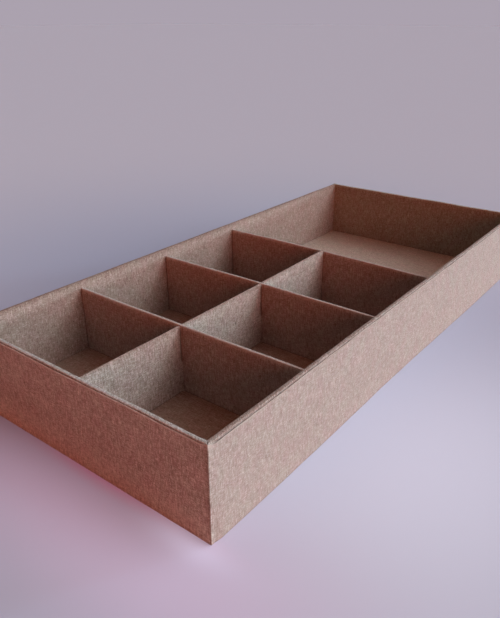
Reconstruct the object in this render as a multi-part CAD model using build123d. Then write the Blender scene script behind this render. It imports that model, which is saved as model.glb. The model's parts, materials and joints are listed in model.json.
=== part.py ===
from build123d import *
import os

# Jewelry tray: greyboard walls, base and dividers, covered in book cloth.
# Six compartments stand in rows of two at the low-X end, and one large bay
# fills the other end. X is the length, Y the width, Z is up, and the origin
# is the middle of the underside. The front wall is the one at low Y.

# Outside of the finished tray
tray_length = 446.0
tray_width = 200.0
tray_height = 60.0

# Boards and cloth
cloth_thickness = 0.3
wall_board_thickness = 1.8
base_board_thickness = 3.0
floor_card_thickness = 2.2
divider_board_thickness = 1.6

# How far each cloth is turned over an edge
lining_lap = 14.0
outer_cloth_turn_under = 14.0
floor_lining_turn_in = 12.0

# Where raw edges stop short of the edge that they follow
outer_cloth_drop = 1.3
base_cloth_inset = 3.0

# Divider grid
compartment_length = 84.0
first_divider_drop = 5.2
cross_divider_drop = 6.0
long_divider_drop = 5.8
crossing_count = 2
slot_depth_share = 0.54

# Clearances, and the overrun that every cut gets past the face it opens
floor_clearance = 0.3
slot_clearance = 0.35
divider_end_clearance = 0.3
overrun = 2.0

# Levels, from the table up
outer_cloth_bottom = cloth_thickness
base_board_bottom = outer_cloth_bottom + cloth_thickness
base_board_top = base_board_bottom + base_board_thickness
floor_card_bottom = base_board_top + cloth_thickness
floor_card_top = floor_card_bottom + floor_card_thickness
floor_top = floor_card_top + cloth_thickness
wall_board_top = tray_height - cloth_thickness
first_divider_top = tray_height - first_divider_drop
cross_divider_top = tray_height - cross_divider_drop
long_divider_top = tray_height - long_divider_drop
lap_bottom = tray_height - lining_lap
slot_level = cross_divider_top - slot_depth_share * (cross_divider_top - floor_top)

# Distances in from the outside of a wall, layer by layer
lap_depth = cloth_thickness
board_outer_depth = lap_depth + cloth_thickness
board_inner_depth = board_outer_depth + wall_board_thickness
wall_thickness = board_inner_depth + cloth_thickness

half_length = tray_length / 2
half_width = tray_width / 2
inner_half_length = half_length - wall_thickness
inner_half_width = half_width - wall_thickness
divider_thickness = divider_board_thickness + 2 * cloth_thickness

# The low-X face of each cross divider: the first two carry the half-lap
# crossings, and the last closes the compartments off from the bay
cross_faces = [
    -inner_half_length + row * compartment_length + (row - 1) * divider_thickness
    for row in range(1, crossing_count + 2)
]


def block(x_low, x_high, y_low, y_high, z_low, z_high):
    """A box between two opposite corners."""
    size = (x_high - x_low, y_high - y_low, z_high - z_low)
    middle = ((x_low + x_high) / 2, (y_low + y_high) / 2, (z_low + z_high) / 2)
    return Pos(*middle) * Box(*size)


def slab(inset, z_low, z_high):
    """A flat rectangle of board or cloth, set in all round from the outside of the tray."""
    x, y = half_length - inset, half_width - inset
    return block(-x, x, -y, y, z_low, z_high)


# Walls. Each wall is worked out where it stands at the low-Y side or at the
# low-X end, and the opposite one is the same piece turned half round.

def half_turn(solid):
    """The same piece at the opposite side of the tray."""
    return Rot(0, 0, 180) * solid


def mitre_field(long_side):
    """The space that belongs to one wall where two walls' cloths meet at 45 degrees:
    a trapezium from the outside of the tray in past the wall's inner face."""
    reach = wall_thickness + overrun
    out_x, out_y = half_length + overrun, half_width + overrun
    in_x, in_y = half_length - reach, half_width - reach
    if long_side:
        corners = [(-out_x, -out_y), (out_x, -out_y), (in_x, -in_y), (-in_x, -in_y)]
    else:
        corners = [(-out_x, out_y), (-out_x, -out_y), (-in_x, -in_y), (-in_x, in_y)]
    plan = make_face(Polyline(*corners, close=True))
    return Pos(0, 0, -overrun) * extrude(plan, tray_height + 2 * overrun)


def wall_block(long_side, outer_depth, inner_depth, end_depth, z_low, z_high):
    """A box along one wall, between two depths in from the outside, which stops
    end_depth short of the outside at each end."""
    if long_side:
        end = half_length - end_depth
        return block(-end, end, -half_width + outer_depth, -half_width + inner_depth, z_low, z_high)
    end = half_width - end_depth
    return block(-half_length + outer_depth, -half_length + inner_depth, -end, end, z_low, z_high)


def wall_board(long_side):
    """Greyboard wall. The long boards run past the ends, and the end boards stand between them."""
    end_depth = board_outer_depth if long_side else board_inner_depth
    return wall_block(
        long_side, board_outer_depth, board_inner_depth, end_depth, base_board_bottom, wall_board_top
    )


def wall_infill(long_side):
    """Thin card that levels the outer face below the lining's lap."""
    end_depth = lap_depth if long_side else board_outer_depth
    return wall_block(long_side, lap_depth, board_outer_depth, end_depth, base_board_bottom, lap_bottom)


def wall_lining(long_side):
    """Cloth that stands on the base board, covers the inner face, folds over the
    board's top edge and laps down outside. Its two folds are rounded by its own
    thickness about the board's sharp edges."""
    folded = wall_block(long_side, lap_depth, wall_thickness, 0, base_board_top, tray_height)
    run = Axis.X if long_side else Axis.Y
    rim_edges = folded.edges().filter_by(run).group_by(Axis.Z)[-1]
    folded = fillet(rim_edges, cloth_thickness)
    folded -= wall_block(
        long_side, board_outer_depth, board_inner_depth, -overrun, base_board_top - overrun, wall_board_top
    )
    folded -= wall_block(
        long_side, -overrun, board_outer_depth + wall_board_thickness / 2, -overrun,
        base_board_top - overrun, lap_bottom,
    )
    return folded & mitre_field(long_side)


# Outside and underside

def outer_cloth():
    """One strip round the four outer faces, with a raw upper edge just below the
    rim, turned under the base along every side."""
    wrap = slab(0, outer_cloth_bottom, tray_height - outer_cloth_drop)
    folds = wrap.edges().filter_by(Axis.Z) + wrap.edges().group_by(Axis.Z)[0]
    wrap = fillet(folds, cloth_thickness)
    wrap -= slab(lap_depth, base_board_bottom, tray_height)
    return wrap - slab(outer_cloth_turn_under, outer_cloth_bottom - overrun, tray_height)


def base_infill():
    """Thin card that levels the underside inside the outer cloth's turn-under."""
    return slab(outer_cloth_turn_under, outer_cloth_bottom, base_board_bottom)


def base_cloth():
    """Sheet that covers the underside and stands on the table."""
    return slab(base_cloth_inset, 0, outer_cloth_bottom)


def base_board():
    """Greyboard base, glued between the four walls."""
    return slab(board_inner_depth, base_board_bottom, base_board_top)


# Floor, which is covered on the bench and dropped in over the base board

floor_inset = wall_thickness + floor_clearance


def floor_card():
    """Card inside the floor lining."""
    return slab(floor_inset + cloth_thickness, floor_card_bottom, floor_card_top)


def floor_lining():
    """Cloth over the floor card, folded down its edges and turned in beneath it."""
    cover = slab(floor_inset, base_board_top, floor_top)
    cover = fillet(cover.edges().group_by(Axis.Z)[-1], cloth_thickness)
    cover -= floor_card()
    return cover - slab(floor_inset + floor_lining_turn_in, base_board_top - overrun, floor_card_top)


# Divider grid. A divider is a board with cloth folded over its top edge. Its
# lower edge and its ends are raw, and stand on the floor and against the walls.

def crossing_slots():
    """The slots cut down from the top of the long divider, one at each crossing."""
    return [
        block(
            face - slot_clearance, face + divider_thickness + slot_clearance,
            -divider_thickness, divider_thickness, slot_level, long_divider_top + overrun,
        )
        for face in cross_faces[:crossing_count]
    ]


def divider_envelope(along_x, across_start, along_low, along_high, top):
    """A divider's outside, cloth and all, with the two top edges rounded by the cloth's fold."""
    across_end = across_start + divider_thickness
    if along_x:
        whole = block(along_low, along_high, across_start, across_end, floor_top, top)
    else:
        whole = block(across_start, across_end, along_low, along_high, floor_top, top)
    run = Axis.X if along_x else Axis.Y
    return fillet(whole.edges().filter_by(run).group_by(Axis.Z)[-1], cloth_thickness)


def divider_core(along_x, across_start, along_low, along_high, top):
    """The board inside a divider."""
    core_low = across_start + cloth_thickness
    core_high = core_low + divider_board_thickness
    core_top = top - cloth_thickness
    if along_x:
        return block(along_low, along_high, core_low, core_high, floor_top, core_top)
    return block(core_low, core_high, along_low, along_high, floor_top, core_top)


def long_divider():
    """Board and cloth of the lengthwise divider, from the low-X end wall to the
    last cross divider, on which it is butted."""
    span = (-inner_half_length + divider_end_clearance, cross_faces[-1])
    board = divider_core(True, -divider_thickness / 2, *span, long_divider_top)
    cloth = divider_envelope(True, -divider_thickness / 2, *span, long_divider_top) - board
    for slot in crossing_slots():
        board -= slot
        cloth -= slot
    return board, cloth


def cross_divider(number):
    """Board and cloth of one cross divider. Where it crosses the long divider it
    has a slot up from below, so its top edge runs through unbroken. The first one
    stands a little higher than the others."""
    face = cross_faces[number]
    reach = inner_half_width - divider_end_clearance
    top = first_divider_top if number == 0 else cross_divider_top
    board = divider_core(False, face, -reach, reach, top)
    cloth = divider_envelope(False, face, -reach, reach, top) - board
    if number < crossing_count:
        half_slot = divider_thickness / 2 + slot_clearance
        slot = block(
            face - overrun, face + divider_thickness + overrun,
            -half_slot, half_slot, floor_top - overrun, slot_level,
        )
        board -= slot
        cloth -= slot
    return board, cloth


def tray():
    """Every piece of the tray, by name."""
    made = {
        "base_cloth": base_cloth(),
        "base_infill": base_infill(),
        "outer_cloth": outer_cloth(),
        "base_board": base_board(),
        "floor_card": floor_card(),
        "floor_lining": floor_lining(),
    }
    sides = {
        "front_wall": (True, False),
        "back_wall": (True, True),
        "left_end": (False, False),
        "right_end": (False, True),
    }
    for side, (long_side, opposite) in sides.items():
        layers = {
            "board": wall_board(long_side),
            "infill": wall_infill(long_side),
            "lining": wall_lining(long_side),
        }
        for layer, solid in layers.items():
            made[side + "_" + layer] = half_turn(solid) if opposite else solid
    made["long_divider_board"], made["long_divider_cloth"] = long_divider()
    for number in range(crossing_count + 1):
        board, cloth = cross_divider(number)
        made["cross_divider_board_" + str(number + 1)] = board
        made["cross_divider_cloth_" + str(number + 1)] = cloth
    return made


os.makedirs("parts", exist_ok=True)
for node, solid in tray().items():
    export_step(solid, "parts/" + node + ".step")
    print(node, round(solid.volume, 1))
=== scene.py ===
# %% [markdown]
# # A jewelry tray in slubbed book cloth
# The tray is greyboard covered in cloth: six small compartments at one end and one
# large bay at the other. The packed model gives every piece its place, and this
# notebook gives the cloth its folds, raw edges, frayed threads and weave.
# First the frame is loaded. The bare model's pieces are kept, and their boxes give the
# tray's sizes.

# %% Load the frame
import json
import math
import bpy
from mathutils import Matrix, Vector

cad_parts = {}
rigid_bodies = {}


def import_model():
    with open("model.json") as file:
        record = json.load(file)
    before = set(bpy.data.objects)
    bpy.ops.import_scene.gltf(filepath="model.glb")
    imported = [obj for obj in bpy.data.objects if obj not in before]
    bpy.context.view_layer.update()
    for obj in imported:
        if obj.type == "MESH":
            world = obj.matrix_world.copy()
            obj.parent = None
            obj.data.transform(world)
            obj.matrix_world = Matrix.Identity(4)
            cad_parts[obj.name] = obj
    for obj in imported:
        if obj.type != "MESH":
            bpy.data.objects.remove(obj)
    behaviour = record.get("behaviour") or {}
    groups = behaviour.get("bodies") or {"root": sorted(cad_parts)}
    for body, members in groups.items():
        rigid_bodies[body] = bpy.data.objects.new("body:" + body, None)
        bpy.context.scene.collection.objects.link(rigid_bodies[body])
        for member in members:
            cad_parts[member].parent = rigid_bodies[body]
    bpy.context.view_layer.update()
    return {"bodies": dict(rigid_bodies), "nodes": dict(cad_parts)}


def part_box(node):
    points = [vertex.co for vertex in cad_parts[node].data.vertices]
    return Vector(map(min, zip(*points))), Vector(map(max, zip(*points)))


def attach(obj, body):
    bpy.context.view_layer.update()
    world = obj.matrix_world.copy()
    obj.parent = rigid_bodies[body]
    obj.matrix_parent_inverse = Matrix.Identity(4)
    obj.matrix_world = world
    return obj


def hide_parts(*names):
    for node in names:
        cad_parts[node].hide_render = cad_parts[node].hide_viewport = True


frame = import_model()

from types import SimpleNamespace

import bpy
import numpy as np
from mathutils import Matrix

# %% [markdown]
# ## Sizes from the frame
# A box-maker works inwards from the outside of the tray, and so does this cell. Every
# length that a piece's box can show is read from the model, and only the slots, which
# no box shows, are named here. Distances called depth run inwards from the outer face
# of a wall. All lengths are in metres.

# %% Read the tray's sizes
MM = 0.001


def low(node, axis):
    """The node's lowest place along an axis, 0 for X, 1 for Y, 2 for Z."""
    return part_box(node)[0][axis]


def high(node, axis):
    """The node's highest place along an axis."""
    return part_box(node)[1][axis]


half_length, half_width = high("outer_cloth", 0), high("outer_cloth", 1)
raw_edge_z, turn_z = high("outer_cloth", 2), low("outer_cloth", 2)
rim_z = high("front_wall_lining", 2)
cloth = high("base_cloth", 2) - low("base_cloth", 2)
lap_depth = half_width + low("front_wall_lining", 1)
wall = half_width + high("front_wall_lining", 1)
lining_foot_z = low("front_wall_lining", 2)
lap_bottom_z = high("front_wall_infill", 2)
turn_under = half_width - high("base_infill", 1)
floor_z = high("floor_lining", 2)
divider_half = high("long_divider_cloth", 1)
cross_nodes = [n for n in sorted(frame["nodes"]) if n.startswith("cross_divider_cloth")]
cross_faces = [low(n, 0) for n in cross_nodes]
# How the half-lap slots are cut: their share of a divider's height, and the play in them
slot_share, slot_gap = 0.54, 0.35 * MM
cross_top_z = high(cross_nodes[1], 2)
slot_level = cross_top_z - slot_share * (cross_top_z - floor_z)
print("outside %.1f x %.1f mm, cloth %.2f, wall %.2f mm" % (
    2000 * half_length, 2000 * half_width, cloth / MM, wall / MM))
print("cross dividers at", [round(x / MM, 1) for x in cross_faces])
print("slots down to %.1f mm" % (slot_level / MM))

# %% [markdown]
# ## A soft random field
# Nothing that is glued by hand is dead flat. A field of a few sine waves in random
# directions is cheap, smooth and the same on every run, because its seed is fixed.
# Noise modifiers would do it too, but a field in numpy can be shared by two pieces
# that have to bend together.

# %% Waver
def waver(a, b, length, seed, waves=9):
    """A smooth field of two coordinates, from about -1 to 1: a sum of sine waves whose
    wavelength is near length, in directions and phases drawn from the seed, divided by
    twice the root of half their number."""
    draw = np.random.default_rng(seed)
    turn = draw.uniform(0, 2 * np.pi, waves)
    rate = 2 * np.pi / (length * draw.uniform(0.7, 1.6, waves))
    start = draw.uniform(0, 2 * np.pi, waves)
    a, b = np.broadcast_arrays(np.asarray(a, float), np.asarray(b, float))
    phase = (a[..., None] * np.cos(turn) + b[..., None] * np.sin(turn)) * rate + start
    return np.sin(phase).sum(-1) / math.sqrt(waves / 2) / 2


def wavers(a, b, layers):
    """A sum of wavers, each given as its height, its length and its seed."""
    return sum(height * waver(a, b, length, seed) for height, length, seed in layers)


def ease(x):
    """A soft step: 0 below 0, 1 above 1, and 3 x squared less 2 x cubed between."""
    x = np.clip(x, 0, 1)
    return x * x * (3 - 2 * x)


def fade(distance, reach):
    """A soft step the other way: 1 at no distance, 0 a reach away."""
    return ease(1 - distance / reach)


sample = waver(np.linspace(0, 1, 2000), 0, 0.05, 1)
print("waver spans %.2f to %.2f" % (sample.min(), sample.max()))

# %% [markdown]
# ## Sections and grids
# Every covered edge has the same story: cloth comes up one face, bends round the
# board's edge in a small round, and goes down the other. So a section is a few
# corners with a radius at each bend, read at any distance along it. The grid gets
# its lines where something happens, such as a bend or the edge of a slot.

# %% Section of a folded sheet
fine_step = 0.25 * MM


def section(corners, radii, arc_steps=8):
    """A path of straight runs with each inner corner rounded by its own radius. Returns a
    function from distance along the path to the point, the path's length and the
    distances at which its rounds start and end."""
    pts, marks = [np.array(corners[0], float)], []
    for before, at, after, radius in zip(corners[:-2], corners[1:-1], corners[2:], radii):
        before, at, after = (np.array(p, float) for p in (before, at, after))
        back, on = before - at, after - at
        back, on = back / np.linalg.norm(back), on / np.linalg.norm(on)
        centre = at + radius * (back + on)
        angle = np.linspace(0, np.pi / 2, arc_steps + 1)[:, None]
        arc = centre - radius * (on * np.cos(angle) + back * np.sin(angle))
        marks.append((len(pts), len(pts) + arc_steps))
        pts.extend(arc)
    pts.append(np.array(corners[-1], float))
    pts = np.array(pts)
    along = np.concatenate([[0], np.cumsum(np.linalg.norm(np.diff(pts, axis=0), axis=1))])

    def read(t):
        return np.stack([np.interp(t, along, pts[:, k]) for k in range(2)], -1)

    return read, along[-1], [(along[i], along[j]) for i, j in marks]


def lines(breaks, step, fine=()):
    """Grid lines through every break, evenly spaced between two breaks and at most a
    step apart, or the fine step where the span lies in a fine range."""
    breaks = sorted(set(np.round(breaks, 7)))
    parts = []
    for start, end in zip(breaks[:-1], breaks[1:]):
        middle = (start + end) / 2
        gap = fine_step if any(a <= middle <= b for a, b in fine) else step
        count = max(1, math.ceil((end - start) / gap - 1e-6))
        parts.append(np.linspace(start, end, count, endpoint=False))
    return np.concatenate(parts + [[breaks[-1]]])


read, length, bends = section([(0, 0), (0, 10), (4, 10), (4, 0)], [1, 1])
print("a trial fold is %.2f long, with bends at" % length, np.round(bends, 2).tolist())

# %% [markdown]
# ## Laying a sheet
# Book cloth is thin but it isn't paper-thin: its cut edge shows as a line. Solidify
# would give it thickness, but it knows nothing of slots cut through a grid, so the
# sheet is built closed in one go: a face, a back one thickness behind it, and walls
# wherever a kept cell meets a cut one. The grid's two distances become the cloth's
# own UV map, in millimetres, so that the weave follows each fold. Three attributes go
# with it: how much paler the cloth is painted, and below zero how much darker, which is
# mostly painted light and shade and partly wear; how much of the edge colour it takes,
# at frayed or glued cut edges and as painted shade in gaps and slits; and how unevenly
# its threads took the dye.

# %% Mesh maker
sharp_angle = math.radians(50)


def unit(vectors):
    """Vectors brought to a length of one."""
    return vectors / np.maximum(np.linalg.norm(vectors, axis=-1, keepdims=True), 1e-12)


def face_normals(face):
    """The cross product of the grid's two directions at each point."""
    return unit(np.cross(np.gradient(face, axis=0), np.gradient(face, axis=1)))


def make_mesh(name, points, quads, uv_mm=None, marks=None):
    """A mesh object from arrays of points and four-cornered faces, with the cloth's UV
    map and point attributes if they are given."""
    mesh = bpy.data.meshes.new(name)
    mesh.from_pydata(points.tolist(), [], quads.tolist())
    if uv_mm is not None:
        layer = mesh.uv_layers.new(name="cloth")
        corner = np.empty(len(mesh.loops), np.int32)
        mesh.loops.foreach_get("vertex_index", corner)
        layer.uv.foreach_set("vector", uv_mm[corner].astype(np.float32).ravel())
    for key, values in (marks or {}).items():
        mark = mesh.attributes.new(key, "FLOAT", "POINT")
        mark.data.foreach_set("value", values.astype(np.float32).ravel())
    mesh.shade_smooth()
    mesh.set_sharp_from_angle(angle=sharp_angle)
    mesh.update()
    piece = bpy.data.objects.new(name, mesh)
    bpy.context.scene.collection.objects.link(piece)
    return piece


print("a trial length:", np.linalg.norm(unit(np.array([3.0, 4.0, 0.0]))))

# %% Sheet builder
def shell_faces(keep):
    """The faces of a closed shell over a grid whose kept cells are cloth: each kept cell
    in front, the same turned about behind, and a wall where its neighbour isn't kept."""
    nu, nv = keep.shape[0] + 1, keep.shape[1] + 1
    number = np.arange(nu * nv).reshape(nu, nv)
    a, b = number[:-1, :-1][keep], number[1:, :-1][keep]
    c, d = number[1:, 1:][keep], number[:-1, 1:][keep]
    quads = [np.stack([a, b, c, d], -1), np.stack([a, d, c, b], -1) + nu * nv]
    padded = np.pad(keep, 1)
    here = padded[1:-1, 1:-1]
    for neighbour, p, q in (
        (padded[:-2, 1:-1], number[:-1, 1:], number[:-1, :-1]),
        (padded[2:, 1:-1], number[1:, :-1], number[1:, 1:]),
        (padded[1:-1, :-2], number[:-1, :-1], number[1:, :-1]),
        (padded[1:-1, 2:], number[1:, 1:], number[:-1, 1:]),
    ):
        edge = here & ~neighbour
        p, q = p[edge], q[edge]
        quads.append(np.stack([q, p, p + nu * nv, q + nu * nv], -1))
    return np.concatenate(quads)


def lay_sheet(name, face, u, v, keep=None, rubbed=0, cut=0, uneven=1):
    """A closed sheet. The face is a grid of points over distances u and v, the back is
    the face less one thickness along its normal, and keep says which cells are cloth."""
    grid = face.shape[:2]
    keep = np.ones((grid[0] - 1, grid[1] - 1), bool) if keep is None else keep
    back = face - cloth * face_normals(face)
    points = np.concatenate([face.reshape(-1, 3), back.reshape(-1, 3)])
    used, quads = np.unique(shell_faces(keep), return_inverse=True)
    quads = quads.reshape(-1, 4)
    grid_uv = np.stack(np.meshgrid(u, v, indexing="ij"), -1).reshape(-1, 2) / MM
    grid_uv = np.concatenate([grid_uv, grid_uv])[used]
    # The first mark moves the tone, mostly as painted light and shade and partly as wear; the second takes
    # the edge colour, at frayed or glued edges and as painted shade in gaps and slits
    marks = {"rubbed": rubbed, "cut": cut, "uneven": uneven}
    marks = {key: np.tile(np.broadcast_to(value, grid).ravel(), 2)[used] for key, value in marks.items()}
    piece = make_mesh(name, points[used], quads, grid_uv, marks)
    print("%-24s %6d faces" % (name, len(quads)))
    return piece


def near(values, spots, width):
    """1 at any of the spots, fading to 0 a width away."""
    distance = np.abs(np.asarray(values)[..., None] - np.asarray(list(spots))).min(-1)
    return np.clip(1 - distance / width, 0, 1)


print("faces of a shell of two cells:", len(shell_faces(np.ones((2, 1), bool))))

# %% [markdown]
# ## Where the raw edge runs
# The outer cloth stops a little below the rim in a raw edge. It was trimmed by hand, so
# it rises and falls along the front and the left end, and wanders everywhere. Two
# pieces need that height: the outer cloth itself, and the lining's lap behind it, which
# is painted dark up to a little above the edge, as painted shade of the gap behind the
# raw edge. One function serves both.

# %% Raw edge
# Places along a side and the edge's level there, in millimetres
front_levels = [(-195, -85, -20, 60), (-0.5, 0.25, 0.2, -0.15)]
left_levels = [(-100, -40, -10, 100), (0.45, 0.4, 0.05, 0.1)]
edge_wander = [(0.12 * MM, 50 * MM, 33), (0.05 * MM, 7 * MM, 34)]
corner_step = 4 * MM
corner_rise, rise_reach = 1.2 * MM, 3.2 * MM


def at_left(x):
    """1 on the outside of the left end, 0 elsewhere, with a soft step round the corner."""
    return ease((-x - half_length) / corner_step + 1)


def at_front(x, y):
    """1 on the outside of the front wall, 0 elsewhere, in the same way."""
    return ease((-y - half_width) / corner_step + 1) * (1 - at_left(x))


def raw_edge_height(x, y):
    """Height of the raw edge at a place on the outside of the tray: the side's level there,
    a slow and a quick waver, and a rise at the corners."""
    level = at_left(x) * np.interp(y / MM, *left_levels) + at_front(x, y) * np.interp(x / MM, *front_levels)
    from_corner = half_length - np.abs(x) + half_width - np.abs(y)
    rise = corner_rise * np.exp(-(from_corner / rise_reach) ** 2)
    return raw_edge_z + level * MM + wavers(x, y, edge_wander) + rise


print("raw edge on the front from %.2f to %.2f mm up" % tuple(
    raw_edge_height(np.array([-180, 0]) * MM, -half_width) / MM))

# %% [markdown]
# ## Linings: inner face, rim and lap
# Each wall has a strip of cloth that stands behind the floor, climbs the inner face,
# folds over the rim and laps down outside. Neighbouring strips meet in a mitre. A
# strip is its section swept along the wall, and the mitre comes free: a point at
# some depth in from the outside reaches that much less far along the wall.
# Where two strips meet at a rim corner the folded cloth makes a small lump, and the
# rim itself wanders by a tenth of a millimetre or two, but not where two strips meet.

# %% Where the walls stand
outwards = {"front_wall": (0, -1), "back_wall": (0, 1), "left_end": (-1, 0), "right_end": (1, 0)}


def wall_frame(side):
    """Where a wall stands: the direction outwards, the direction along it in which its
    lining is laid, and the tray's half sizes along each."""
    outward = np.array([*outwards[side], 0.0])
    along = np.cross(outward, (0, 0, 1.0))
    reach = (half_width, half_length) if side.endswith("wall") else (half_length, half_width)
    return outward, along, reach


print("walls", ", ".join(outwards))

# %% Folds and lumps of the linings
inner_fold, outer_fold = 0.5 * MM, 0.32 * MM
rim_wander, rim_pucker, face_bow = 0.14 * MM, 0.05 * MM, 0.1 * MM
corner_lump, lump_reach, lump_height = 0.3 * MM, 3.2 * MM, 3 * MM
# How much of the lump also stands outwards, in the lining and in the cloth over it
lining_lump_out, outer_lump_out = 0.8, 0.7
mitre_reach, mitre_steps = 4 * MM, 9
along_step, up_step = 1.8 * MM, 2.2 * MM


def lump_at(corner_distance, height):
    """The rim's corner lump: a bell of the distance from the corner, near the rim only."""
    return np.exp(-(corner_distance / lump_reach) ** 2) * fade(rim_z - height, lump_height)


def lining_grid(along_reach, length, bends):
    """Grid lines of a lining: shares of the wall's half length from -1 to 1, closer near
    the mitres, and distances along its section, closer in the folds."""
    mitre = mitre_reach / along_reach
    share = np.concatenate([
        np.linspace(-1, -1 + mitre, mitre_steps)[:-1],
        np.linspace(-1 + mitre, 1 - mitre, int(2 * along_reach / along_step))[:-1],
        np.linspace(1 - mitre, 1, mitre_steps),
    ])
    spots = [m for bend in bends for m in bend]
    below_rim = (bends[-1][1], bends[-1][1] + 3 * MM)
    return share, lines([0, length - 4 * MM, length, *spots], up_step, fine=[*bends, below_rim])


def lining_shape(side, seed, share, depth, height):
    """Points of a lining. The place along the wall is a share of its half length less the
    depth, which makes the mitres. The inner face bows, the rim wanders and puckers, and
    both its corners carry the lump. Also returns the distance from the corner and how
    much a point belongs to the inner face, which goes from 0 to 1 across the rim."""
    outward, along, (out_reach, along_reach) = wall_frame(side)
    run = share[:, None] * (along_reach - depth)
    from_corner = along_reach - depth - np.abs(run)
    met = ease(from_corner / (5 * MM))
    on_rim = fade(rim_z - height, 6 * MM) * met
    lump = corner_lump * lump_at(from_corner, height)
    wander = rim_wander * waver(run, depth * 3, 45 * MM, seed) * on_rim
    pucker = rim_pucker * waver(run, depth * 4, 5 * MM, seed + 1) * on_rim
    bow = face_bow * waver(run, height, 60 * MM, seed + 2) * met
    inner = ease((depth - wall / 2) / (wall / 2))
    out = out_reach - depth + lump * (1 - inner) * lining_lump_out + bow * inner
    up = height + lump + wander + pucker
    face = outward * out[..., None] + along * run[..., None] + np.array([0, 0, 1.0]) * up[..., None]
    return face, from_corner, inner


print("folds of %.2f and %.2f mm" % (inner_fold / MM, outer_fold / MM))

# %% Linings
# How much each rim is painted: above zero paler, as painted light, below zero darker, as
# painted shade. The front one is darkest near its low-X end, from some place on by some share more
rim_painted_light_and_shade = {"front_wall": -1.1, "back_wall": -3.3, "left_end": 1.6, "right_end": 3.5}
darker_from, darker_over, darker_share = -120 * MM, 40 * MM, 0.6
dark_spread, pale_spread = 3.0 * MM, 1.2 * MM
# How far above the raw edge the lap's painted shade of the gap reaches, and how much further on the left
# end
gap_shade_reach, left_gap_shade = 0.3 * MM, 0.1 * MM


def lining_marks(side, x, y, height, v, bends, from_corner, inner):
    """Painted light and shade of a lining: the rims' painted light on the ends and painted
    shade on the front and back walls fade from the middle of each fold, and the lap is
    painted dark, as shade of the gap behind the raw edge, from below up to a little above
    the raw edge in front of it."""
    spread = dark_spread if rim_painted_light_and_shade[side] < 0 else pale_spread
    rubbed = rim_painted_light_and_shade[side] * near(np.broadcast_to(v, x.shape), [sum(b) / 2 for b in bends], spread)
    if side == "front_wall":
        rubbed = rubbed * (1 + darker_share * ease((darker_from - x) / darker_over))
    reach = gap_shade_reach + left_gap_shade * at_left(x)
    # Painted shade of the gap behind the outer cloth's raw edge, on the lap
    gap_shade = (1 - inner) * ease((raw_edge_height(x, y) + reach - height) / (0.25 * MM))
    return rubbed, gap_shade * ease(from_corner / (4 * MM) - 0.6)


def make_lining(side, seed):
    """A wall's lining: its section is carried along the wall from mitre to mitre."""
    along_reach = wall_frame(side)[2][1]
    path = [(wall, lining_foot_z), (wall, rim_z), (lap_depth, rim_z), (lap_depth, lap_bottom_z)]
    read, length, bends = section(path, [inner_fold, outer_fold])
    share, v = lining_grid(along_reach, length, bends)
    grid = (len(share), len(v))
    depth, height = (np.broadcast_to(part, grid) for part in read(v).T)
    face, from_corner, inner = lining_shape(side, seed, share, depth, height)
    rubbed, gap_shade = lining_marks(
        side, face[..., 0], face[..., 1], height, v, bends, from_corner, inner)
    piece = lay_sheet(side + "_lining_cloth", face, share * along_reach, v,
                      rubbed=rubbed, cut=gap_shade, uneven=1.2)
    return piece, (2 * along_reach, length)


linings = {side: make_lining(side, 10 + 7 * k) for k, side in enumerate(outwards)}

# %% [markdown]
# ## The outer cloth
# One strip goes round the four outer faces. Its raw upper edge stops a little below
# the rim, stands off by less than its own thickness here and there, and throws the
# thin dark line that runs round the tray. Below, it bends round the bottom edge and
# goes under the base. The front wall's foot bulges a little, and the whole foot sags by
# a hair. The strip's ends overlap on the back wall, near a corner.
# The ring is worked out as a rectangle with rounded corners for every depth, so the
# part under the base draws in to mitred corners by itself.

# %% Ring round the tray
corner_radius, bottom_radius = 0.4 * MM, 0.4 * MM
# The share of a side's count that its corner takes
corner_share = 0.01


def ring(t, depth):
    """A rounded rectangle at a depth inwards. t counts sides from the seam's side: each
    whole number is one straight side followed by its corner. The straight runs go
    anticlockwise, seen from above."""
    side = np.floor(t).astype(int) % 4
    part = t - np.floor(t)
    straight = np.clip(part / (1 - corner_share), 0, 1)
    turn = np.clip((part - (1 - corner_share)) / corner_share, 0, 1) * np.pi / 2
    heading = np.array([(-1, 0), (0, -1), (1, 0), (0, 1)])[side]
    outward = np.array([(0, 1), (-1, 0), (0, -1), (1, 0)])[side]
    run = np.array([half_length, half_width, half_length, half_width])[side] - depth
    off = np.array([half_width, half_length, half_width, half_length])[side] - depth
    radius = np.maximum(corner_radius - depth, 0.05 * MM)
    place = (2 * straight - 1) * (run - radius)
    along = place + radius * np.sin(turn)
    out = off - radius + radius * np.cos(turn)
    return heading * along[..., None] + outward * out[..., None]


def ring_length(t):
    """Distance round the outside from the ring's start to t."""
    sizes = np.array([half_length, half_width, half_length, half_width]) * 2
    before = np.concatenate([[0], np.cumsum(sizes)])
    turns = np.floor(t).astype(int)
    whole = np.array([before[k % 4] + (k // 4) * before[-1] for k in turns])
    return whole + (t - turns) * sizes[turns % 4]


print("round the outside: %.0f mm" % (ring_length(np.array([4.0]))[0] / MM))

# %% Grid of the outer cloth
overlap = 9 * MM
seam_from_corner = 16 * MM
seam = seam_from_corner / (2 * half_length)
around_steps = 640
corner_spots = [k + s for k in range(5) for s in (-0.02, -0.01, -0.0067, -0.0033, 0, 0.01)]


def outer_grid(length, bend):
    """Grid lines of the outer cloth: the ring's count of sides from the seam, four sides
    on and past the overlap, closer at the corners, and distances along its section,
    closer in the bend and at the raw edge."""
    finish = seam + 4 + overlap / (2 * half_length)
    t = np.concatenate([np.linspace(seam, finish, around_steps), corner_spots])
    t = np.unique(t[(t >= seam) & (t <= finish)].round(6))
    from_top = [length - gap * MM for gap in (30, 4, 1.6, 0.6, 0)]
    v = lines([0, *bend, *from_top], 2.4 * MM, fine=[bend, (length - 1.6 * MM, length)])
    return t, v


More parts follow.
